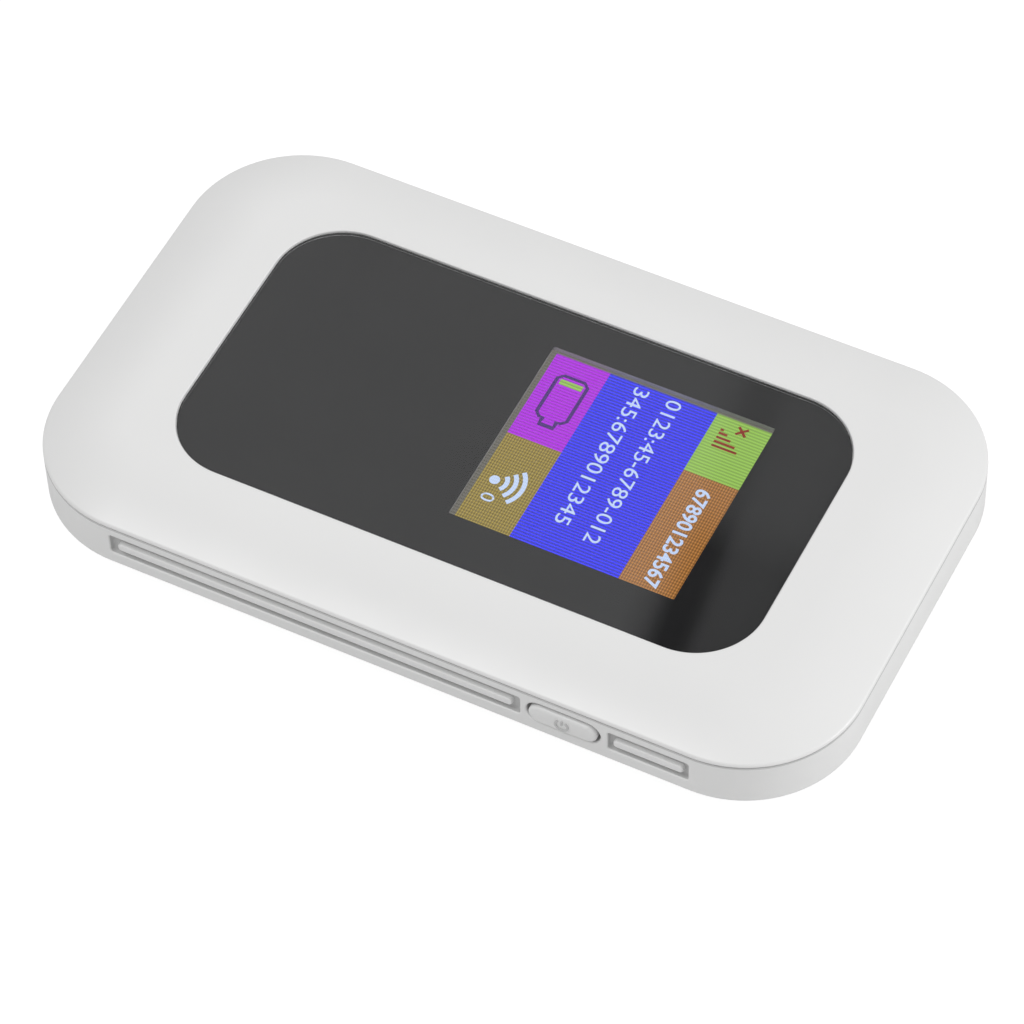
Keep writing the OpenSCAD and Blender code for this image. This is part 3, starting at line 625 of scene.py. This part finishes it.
def cover_arc(inset, low, start_z, end_z, steps):
    """Profile of the cover's curve between two heights, above its flat bottom at low."""
    start = math.acos(1 - (start_z - low) / COVER_ARC_R)
    end = math.acos(1 - (end_z - low) / COVER_ARC_R)
    angles = [start + (end - start) * i / steps for i in range(steps + 1)]
    return [(inset + COVER_ARC_IN - COVER_ARC_R * math.sin(a), low + COVER_ARC_R * (1 - math.cos(a)))
            for a in angles]


def notched(points):
    """Pushes an outline's points back out of the fingernail notch."""
    pushed = []
    for point in points:
        if abs(point.x) < NOTCH_R and point.y > 0:
            limit = NOTCH_Y - math.sqrt(NOTCH_R ** 2 - point.x ** 2)
            point = Vector((point.x, min(point.y, limit)))
        pushed.append(point)
    return pushed


def build_back_cover():
    bm = bmesh.new()
    plain = [(COVER_INSET + COVER_ARC_IN + SUPPORT, 0)]
    plain += cover_arc(COVER_INSET, 0, 0, NOTCH_Z, 14)
    dented = cover_arc(COVER_INSET, 0, NOTCH_Z, COVER_ARC_H, 4)
    dented += curve((COVER_INSET + RIM_BEVEL, COVER_H - RIM_BEVEL), (RIM_BEVEL, RIM_BEVEL), 180, 90, 3)
    inner = cover_arc(COVER_INSET + COVER_WALL, COVER_T, COVER_H, COVER_T, 12)
    inner += [(inner[-1][0] + SUPPORT, COVER_T)]
    rings = [ring(bm, case_outline(inset), z) for inset, z in plain]
    rings += [ring(bm, notched(case_outline(inset)), z) for inset, z in dented]
    rings += [ring(bm, case_outline(inset), z) for inset, z in inner]
    prism(bm, rings)
    for x, y, length, width in COVER_TONGUES:
        tongue_block(bm, x, y, length, width)
    return make_piece("back_shell", bm, [LOOKS["cover_plastic"]], "back_cover", "cover_plastic",
                      "back_cover")


def tongue_block(bm, x, y, length, width):
    """One locating tongue on the cover's rim, with its top edges rounded."""
    bevel = 0.15 * MM
    levels = [(0, COVER_H - 0.3 * MM)] + curve((-bevel, BACK_HIGH.z - bevel), (bevel, bevel), 0, 90, 3)
    prism(bm, [ring(bm, outline(length + 2 * grow, width + 2 * grow, 0.2 * MM + grow, (x, y), 3, (4, 4)), z)
               for grow, z in levels])


# ------------------------------------------------------------------ power key
KEY_L = 8.3 * MM
KEY_H = 2.7 * MM
KEY_EDGE_R = 0.34 * MM
KEY_CROWN = 0.04 * MM
KEY_ICON_RISE = 0.14 * MM
KEY_BACK_Y = -28.0 * MM
KEY_FLANGE_T = 0.6 * MM
KEY_FLANGE_OVER = 0.85 * MM
KEY_FLAT_IN = 1.2 * MM
KEY_DISH_IN = 0.8 * MM
KEY_NUB_R = 0.7 * MM
KEY_NUB_DROP = 0.3 * MM
KEY_SIDES = (16, 0)
KEY_CORNER_STEPS = 10
ICON_R = 0.76 * MM
ICON_STROKE = 0.23 * MM
ICON_SUNK = 0.03 * MM
ICON_BAR_LOW = 0.05 * MM
ICON_GAP = 38
ICON_STEPS = 28


def key_ring(bm, grow, depth):
    shape = outline(KEY_L + 2 * grow, KEY_H + 2 * grow, KEY_H / 2 + grow - SUPPORT, (KEY_X, SLOT_Z),
                    KEY_CORNER_STEPS, KEY_SIDES)
    return ring(bm, shape, depth, front_wall)


def build_key():
    bm = bmesh.new()
    face = KEY_LOW.y + CASE_W / 2 + KEY_ICON_RISE
    back = KEY_BACK_Y + CASE_W / 2
    levels = [(-KEY_FLAT_IN, face), (-KEY_DISH_IN, face + KEY_CROWN / 4), (-KEY_EDGE_R, face + KEY_CROWN)]
    levels += curve((-KEY_EDGE_R, face + KEY_CROWN + KEY_EDGE_R), (KEY_EDGE_R, KEY_EDGE_R), -75, 0, 6)
    levels += [(0, back), (KEY_FLANGE_OVER, back), (KEY_FLANGE_OVER, back + KEY_FLANGE_T)]
    prism(bm, [key_ring(bm, grow, depth) for grow, depth in levels])
    nub = [(KEY_NUB_R, back + KEY_FLANGE_T - SUPPORT), (KEY_NUB_R, KEY_HIGH.y + CASE_W / 2)]
    prism(bm, [ring(bm, circle(radius, (KEY_X, SLOT_Z - KEY_NUB_DROP)), depth, front_wall)
               for radius, depth in nub])
    return make_piece("power_button", bm, [LOOKS["key_plastic"]], "power_key", "key_plastic", "power_key")


def build_key_icon():
    """The raised power symbol: a ring open at the top, with a bar in the gap."""
    bm = bmesh.new()
    face = KEY_LOW.y + CASE_W / 2
    levels = (face + KEY_ICON_RISE + ICON_SUNK, face)
    arc = circle(ICON_R, (KEY_X, SLOT_Z), ICON_STEPS, 90 + ICON_GAP, 360 - 2 * ICON_GAP)
    ribbon(bm, arc, ICON_STROKE, levels, front_wall)
    bar = [(KEY_X, SLOT_Z + ICON_BAR_LOW), (KEY_X, SLOT_Z + ICON_R)]
    ribbon(bm, bar, ICON_STROKE, levels, front_wall)
    # The icon is the white plastic darkened: painted shade standing in for the shadows round its relief
    icon = moulded("key_icon_painted_shade", shade(WHITE, 0.72), 0.5)
    return make_piece("power_icon", bm, [icon], "power_key", "key_plastic")


# ------------------------------------------------------------------ window and its print
PRINT_T = 20 * MICRON
PRINT_IN = 0.03 * MM
WINDOW_EDGE = 0.03 * MM
APERTURE = (27.7 * MM, 26.45 * MM, 0.15 * MM)
APERTURE_AT = (12.09 * MM, 0.705 * MM)


def build_window():
    bm = bmesh.new()
    low = WINDOW_LOW.z + PRINT_T / 2
    high = WINDOW_HIGH.z
    levels = [(-WINDOW_EDGE, low), (0, low + WINDOW_EDGE)]
    levels += curve((-WINDOW_EDGE, high - WINDOW_EDGE), (WINDOW_EDGE, WINDOW_EDGE), 0, 90, 4)
    levels += [(-WINDOW_EDGE - SUPPORT, high)]
    rings = [ring(bm, window_outline(grow), z) for grow, z in levels]
    loft(bm, rings)
    bm.faces.new(rings[-1])
    bm.faces.new(rings[0]).material_index = 1
    looks = [LOOKS["window_acrylic"], window_glass("window_back", 0.0)]
    window = make_piece("window_pane", bm, looks, "chassis", "window_acrylic", "front_window")
    window.visible_shadow = False
    return window


def build_window_print():
    """The black ink behind the window, open over the picture."""
    bm = bmesh.new()
    low, high = WINDOW_LOW.z, WINDOW_LOW.z + PRINT_T
    rings = [ring(bm, window_outline(-PRINT_IN), z) for z in (low, high)]
    rings += [ring(bm, outline(*APERTURE, APERTURE_AT), z) for z in (high, low)]
    loft(bm, rings, closed=True)
    ink = moulded("window_ink", (0.018, 0.018, 0.0187), 0.6, grain=2 * MM, relief=0.2 * MICRON, spread=0.1,
                   specular=0.0)
    return make_piece("window_print", bm, [ink], "chassis", "adhesive")


# ------------------------------------------------------------------ display: panel, picture and icons
PICTURE_LOW = Vector((-1.24 * MM, -12.2 * MM))
PICTURE_HIGH = Vector((25.76 * MM, 13.6 * MM))
PICTURE_L = PICTURE_HIGH.x - PICTURE_LOW.x
PICTURE_W = PICTURE_HIGH.y - PICTURE_LOW.y
SHEET_T = 4 * MICRON
PICTURE_Z = GLASS_HIGH.z + SHEET_T
LAYER = 6 * MICRON

BLUE = (0.02, 0.023, 0.96)
MAGENTA = (0.45, 0.0, 0.78)
GOLD = (0.35, 0.255, 0.04)
GREEN = (0.31, 0.56, 0.085)
ORANGE = (0.45, 0.19, 0.045)
PALE = (0.60, 0.73, 1.0)
PURPLE = (0.05, 0.0, 0.18)
RUST = (0.28, 0.015, 0.0)
GREY = (0.140, 0.133, 0.110)
# Where the picture's tiles meet and how far its border goes, in shares of the picture
BAND_LOW, BAND_HIGH = 0.252, 0.748
LEFT_SPLIT, RIGHT_SPLIT = 0.49, 0.345
BORDER = 0.03
DOTTED = {"row_depth": 0.3, "column_depth": 0.4, "column_pitch": 1.5}
BATTERY_STROKE = 0.4 * MM
WIFI_DOT_R = 0.62 * MM
WIFI_RADII = (1.45 * MM, 2.45 * MM, 3.45 * MM)
WIFI_STROKE = 0.55 * MM
WIFI_START, WIFI_SWEEP = -42, 84
BAR_STROKE = 0.33 * MM
BAR_LOW = 0.795
BARS = ((0.075, 0.810), (0.095, 0.835), (0.120, 0.860), (0.145, 0.890), (0.169, 0.909))


def spot(u, v):
    """A point of the picture: u runs along the reading direction, v is up."""
    return Vector((PICTURE_LOW.x + v * PICTURE_L, PICTURE_HIGH.y - u * PICTURE_W))


def slab_draw(u0, u1, v0, v1):
    """Draws a thin rectangle of the picture."""
    def draw(bm, low, high):
        corners = [spot(u0, v0), spot(u1, v0), spot(u1, v1), spot(u0, v1)]
        prism(bm, [ring(bm, corners, z) for z in (low, high)])
    return draw


def picture_piece(name, colour, draw, layer, **look):
    """One colour of the picture as a thin piece, drawn by a function at the layer's height."""
    bm = bmesh.new()
    low = PICTURE_Z + layer * LAYER
    draw(bm, low, low + SHEET_T)
    return make_piece(name, bm, [lit(name, colour, **look)], "chassis", "display_panel")


def build_panel():
    bm = bmesh.new()
    size = GLASS_HIGH - GLASS_LOW
    middle = (GLASS_HIGH + GLASS_LOW) / 2
    edge = 0.06 * MM
    levels = [(-edge, GLASS_LOW.z), (0, GLASS_LOW.z + edge), (0, GLASS_HIGH.z - edge),
              (-edge, GLASS_HIGH.z)]
    shapes = [(outline(size.x + 2 * g, size.y + 2 * g, 0.25 * MM, (middle.x, middle.y), 3, (6, 6)), z)
              for g, z in levels]
    prism(bm, [ring(bm, points, z) for points, z in shapes])
    return make_piece("display_cell", bm, [LOOKS["display_panel"]], "chassis", "display_panel",
                      "display_glass")


def digits(text, place_u, place_v, width, height, bold=0.0):
    """Plain digits along the reading direction, fitted to a width and height in shares of the picture."""
    font = bpy.data.curves.new("digits", "FONT")
    font.body = text
    font.resolution_u = 4
    font.offset = bold
    holder = bpy.data.objects.new("digits", font)
    bpy.context.scene.collection.objects.link(holder)
    bpy.context.view_layer.update()
    graph = bpy.context.evaluated_depsgraph_get()
    mesh = bpy.data.meshes.new_from_object(holder.evaluated_get(graph))
    bpy.data.objects.remove(holder)
    xs = [v.co.x for v in mesh.vertices]
    ys = [v.co.y for v in mesh.vertices]
    for vertex in mesh.vertices:
        u = place_u + width * (vertex.co.x - min(xs)) / (max(xs) - min(xs))
        v = place_v + height * (vertex.co.y - min(ys)) / (max(ys) - min(ys))
        point = spot(u, v)
        vertex.co = (point.x, point.y, 0)
    return mesh


def text_draw(rows):
    """Draws rows of digits as thin solids."""
    def draw(bm, low, high):
        for row in rows:
            flat_bm = bmesh.new()
            flat_bm.from_mesh(digits(*row))
            for vertex in flat_bm.verts:
                vertex.co.z = low
            made = bmesh.ops.extrude_face_region(flat_bm, geom=flat_bm.faces[:])
            for item in made["geom"]:
                if isinstance(item, bmesh.types.BMVert):
                    item.co.z = high
            mesh = bpy.data.meshes.new("row")
            flat_bm.to_mesh(mesh)
            flat_bm.free()
            bm.from_mesh(mesh)
    return draw


def draw_battery(bm, low, high):
    """Outline of a battery with a narrower tip."""
    u0, u1, tip_u = 0.10, 0.352, 0.388
    v0, v1 = 0.06, 0.20
    tip_v0, tip_v1 = 0.098, 0.162
    cut = 0.022
    path = [(u0, v0 + cut), (u0 + cut, v0), (u1 - cut, v0), (u1, v0 + cut), (u1, tip_v0), (tip_u, tip_v0),
            (tip_u, tip_v1), (u1, tip_v1), (u1, v1 - cut), (u1 - cut, v1), (u0 + cut, v1), (u0, v1 - cut)]
    ribbon(bm, [spot(u, v) for u, v in path], BATTERY_STROKE, (low, high), closed=True)


def draw_wifi(bm, low, high):
    """A dot with three arcs that open towards +v."""
    centre = spot(0.75, 0.066)
    prism(bm, [ring(bm, circle(WIFI_DOT_R, centre), z) for z in (low, high)])
    for radius in WIFI_RADII:
        ribbon(bm, circle(radius, centre, 20, WIFI_START, WIFI_SWEEP), WIFI_STROKE, (low, high))


def draw_bars(bm, low, high):
    """Signal bars and a small cross."""
    for u, top in BARS:
        ribbon(bm, [spot(u, BAR_LOW), spot(u, top)], BAR_STROKE, (low, high))
    cross_u, cross_v, arm = 0.05, 0.883, 0.022
    for side in (-1, 1):
        ends = [spot(cross_u - arm, cross_v - side * arm), spot(cross_u + arm, cross_v + side * arm)]
        ribbon(bm, ends, BAR_STROKE, (low + side * SHEET_T / 4, high + side * SHEET_T / 4))


def build_picture():
    tiles = (
        ("picture_blue", BLUE, (0, 1, BAND_LOW, BAND_HIGH), {"row_depth": 0.5}),
        ("picture_magenta", MAGENTA, (0, LEFT_SPLIT, 0, BAND_LOW), {}),
        ("picture_gold", GOLD, (LEFT_SPLIT, 1, 0, BAND_LOW), DOTTED),
        ("picture_green", GREEN, (0, RIGHT_SPLIT, BAND_HIGH, 1), {}),
        ("picture_orange", ORANGE, (RIGHT_SPLIT, 1, BAND_HIGH, 1), DOTTED),
        ("picture_end_border", GREY, (-BORDER, 1, -BORDER, 0), {}),
        ("picture_side_border", GREY, (-BORDER, 0, 0, 1 + BORDER), {}),
    )
    for name, colour, area, look in tiles:
        picture_piece(name, colour, slab_draw(*area), 0, **look)
    rows = [("0123:45-6789-012", 0.02, 0.53, 0.86, 0.068), ("345:6789012345", 0.02, 0.378, 0.82, 0.068)]
    picture_piece("picture_rows", PALE, text_draw(rows), 1, row_depth=0.06)
    bold_row = [("678901234567", 0.41, 0.842, 0.57, 0.07, 0.022)]
    picture_piece("picture_bold_row", PALE, text_draw(bold_row), 1, row_depth=0.06)
    picture_piece("picture_battery", PURPLE, draw_battery, 1)
    picture_piece("picture_charge", GREEN, slab_draw(0.122, 0.152, 0.078, 0.182), 1)
    picture_piece("picture_wifi", PALE, draw_wifi, 1, row_depth=0.06)
    picture_piece("picture_count", PALE, text_draw([("0", 0.826, 0.05, 0.045, 0.06)]), 1)
    picture_piece("picture_bars", RUST, draw_bars, 1)


# ------------------------------------------------------------------ CAD nodes that stay
def finish_cad_nodes():
    """Gives every carried-over CAD node the look of its material slot."""
    for entry in frame["record"]["subparts"]:
        node = frame["nodes"][entry["node"]]
        node.data.materials.clear()
        node.data.materials.append(LOOKS[entry["material_slot"]])


# ------------------------------------------------------------------ stage, light and camera
SHEET_REACH = 6
FLOOR_Z = -20 * MICRON
FLOOR_GLOW = 0.93
GROUND_Z = -60 * MICRON
GROUND = (0.75, 0.75, 0.75, 1)


def square(half):
    """Corners of a square about the origin."""
    return [(-half, -half), (half, -half), (half, half), (-half, half)]


def level_sheet(name, level):
    """A wide level sheet under the object, with its own material; goes down with the back cover."""
    bm = bmesh.new()
    bm.faces.new(ring(bm, square(SHEET_REACH), level))
    mesh = bpy.data.meshes.new(name)
    bm.to_mesh(mesh)
    bm.free()
    material, tree, shader = new_material(name)
    shader.inputs["Roughness"].default_value = 0.9
    shader.inputs["Specular IOR Level"].default_value = 0
    mesh.materials.append(material)
    sheet = bpy.data.objects.new(name, mesh)
    bpy.context.scene.collection.objects.link(sheet)
    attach(sheet, "back_cover")
    return sheet, shader


def build_floor():
    """The white sheet that the camera sees, and under it the ground that gives the soft bounce light."""
    floor, shader = level_sheet("floor", FLOOR_Z)
    shader.inputs["Base Color"].default_value = (0.15, 0.15, 0.15, 1)
    shader.inputs["Emission Color"].default_value = (1, 1, 1, 1)
    shader.inputs["Emission Strength"].default_value = FLOOR_GLOW
    floor.visible_diffuse = False
    floor.visible_glossy = False
    floor.visible_shadow = False
    ground, shader = level_sheet("ground", GROUND_Z)
    shader.inputs["Base Color"].default_value = GROUND
    ground.visible_camera = False


def direction(azimuth, elevation):
    """Unit vector towards an azimuth, 0 being -Y and 90 being +X, and an elevation."""
    a, e = math.radians(azimuth), math.radians(elevation)
    return Vector((math.sin(a) * math.cos(e), -math.cos(a) * math.cos(e), math.sin(e)))


def area_light(name, azimuth, elevation, size, power):
    lamp = bpy.data.lights.new(name, "AREA")
    lamp.shape = "RECTANGLE"
    lamp.size, lamp.size_y = size
    lamp.energy = power
    holder = bpy.data.objects.new(name, lamp)
    bpy.context.scene.collection.objects.link(holder)
    towards = direction(azimuth, elevation)
    holder.location = towards * LIGHT_DISTANCE
    holder.rotation_mode = "QUATERNION"
    holder.rotation_quaternion = towards.to_track_quat("Z", "Y")
    return holder


AZIMUTH, ELEVATION = 28.355, 52.484
CAMERA_DISTANCE = 567.75 * MM
CAMERA_ROLL = 2.146
CAMERA_AIM = Vector((0.36 * MM, -1.62 * MM, 0))
CAMERA_LENS = 175.2
CAMERA_SENSOR = 36
CAMERA_CLIP = (0.01, 30)
ROOM_GLOW = 0.58
# Name, azimuth, elevation, size and power of each softbox
LIGHTS = (
    ("softbox_front", -35, 64, (0.55, 0.5), 3.5),
    ("softbox_right", 106, 24, (0.5, 0.5), 5.0),
)
LIGHT_DISTANCE = 1.1
PANEL_SIZE = 0.8
PANEL_DISTANCE = 1.4
PANEL_GLOW = 1.15
PANEL_TURN = math.radians(-23.6)
STREAK = ((0.36, 0.45), (0.384, 0.5), (0.392, 0.95), (0.404, 0.95), (0.413, 0.3), (0.424, 0.0))
STREAK_FADE = ((0.413, 0.3), (0.478, 0.5), (0.5, 1.0))


def studio_world():
    """An even white room."""
    world = bpy.data.worlds.new("studio")
    bpy.context.scene.world = world
    world.use_nodes = True
    background = world.node_tree.nodes["Background"]
    background.inputs["Color"].default_value = (1, 1, 1, 1)
    background.inputs["Strength"].default_value = ROOM_GLOW


def reflected_panel():
    """The dim panel that the window mirrors towards the camera: even, with a soft dark streak."""
    towards = direction(AZIMUTH + 180, ELEVATION)
    bm = bmesh.new()
    bm.faces.new(ring(bm, square(PANEL_SIZE / 2), 0))
    mesh = bpy.data.meshes.new("softbox_mirrored")
    bm.to_mesh(mesh)
    bm.free()
    material, tree, shader = new_material("softbox_mirrored")
    shader.inputs["Base Color"].default_value = (0, 0, 0, 1)
    shader.inputs["Specular IOR Level"].default_value = 0
    shader.inputs["Emission Strength"].default_value = PANEL_GLOW
    coordinates = tree.nodes.new("ShaderNodeTexCoord")
    split = tree.nodes.new("ShaderNodeSeparateXYZ")
    tree.links.new(coordinates.outputs["Generated"], split.inputs["Vector"])
    streak = ramp(tree, split.outputs["X"], [(at, (level,) * 3) for at, level in STREAK])
    fade = ramp(tree, split.outputs["Y"], [(at, (level,) * 3) for at, level in STREAK_FADE])
    dim = tree.nodes.new("ShaderNodeMath")
    dim.operation = "MULTIPLY"
    tree.links.new(streak, dim.inputs[0])
    tree.links.new(fade, dim.inputs[1])
    glow = ramp(tree, dim.outputs["Value"], [(0, (1, 1, 1)), (1, (0, 0, 0))])
    tree.links.new(glow, shader.inputs["Emission Color"])
    mesh.materials.append(material)
    panel = bpy.data.objects.new("softbox_mirrored", mesh)
    bpy.context.scene.collection.objects.link(panel)
    turned = towards.to_track_quat("Z", "Y").to_matrix().to_4x4() @ Matrix.Rotation(PANEL_TURN, 4, "Z")
    panel.matrix_world = Matrix.Translation(towards * PANEL_DISTANCE) @ turned


def build_lights():
    studio_world()
    reflected_panel()
    for light in LIGHTS:
        area_light(*light)


def build_camera():
    camera = bpy.data.cameras.new("camera")
    camera.sensor_width = CAMERA_SENSOR
    camera.lens = CAMERA_LENS
    camera.clip_start, camera.clip_end = CAMERA_CLIP
    holder = bpy.data.objects.new("camera", camera)
    bpy.context.scene.collection.objects.link(holder)
    back = direction(AZIMUTH, ELEVATION)
    level_right = UP.cross(back).normalized()
    level_up = back.cross(level_right)
    roll = math.radians(CAMERA_ROLL)
    right = level_right * math.cos(roll) - level_up * math.sin(roll)
    up = level_right * math.sin(roll) + level_up * math.cos(roll)
    rotation = Matrix((right, up, back)).transposed().to_4x4()
    holder.matrix_world = Matrix.Translation(CAMERA_AIM + back * CAMERA_DISTANCE) @ rotation
    bpy.context.scene.camera = holder


build_camera()
build_lights()
build_floor()
finish_cad_nodes()
build_top_cover()
build_housing()
build_back_cover()
build_key()
build_key_icon()
build_window()
build_window_print()
build_panel()
build_picture()
bpy.context.scene.view_settings.view_transform = "Standard"

bpy.context.view_layer.update()
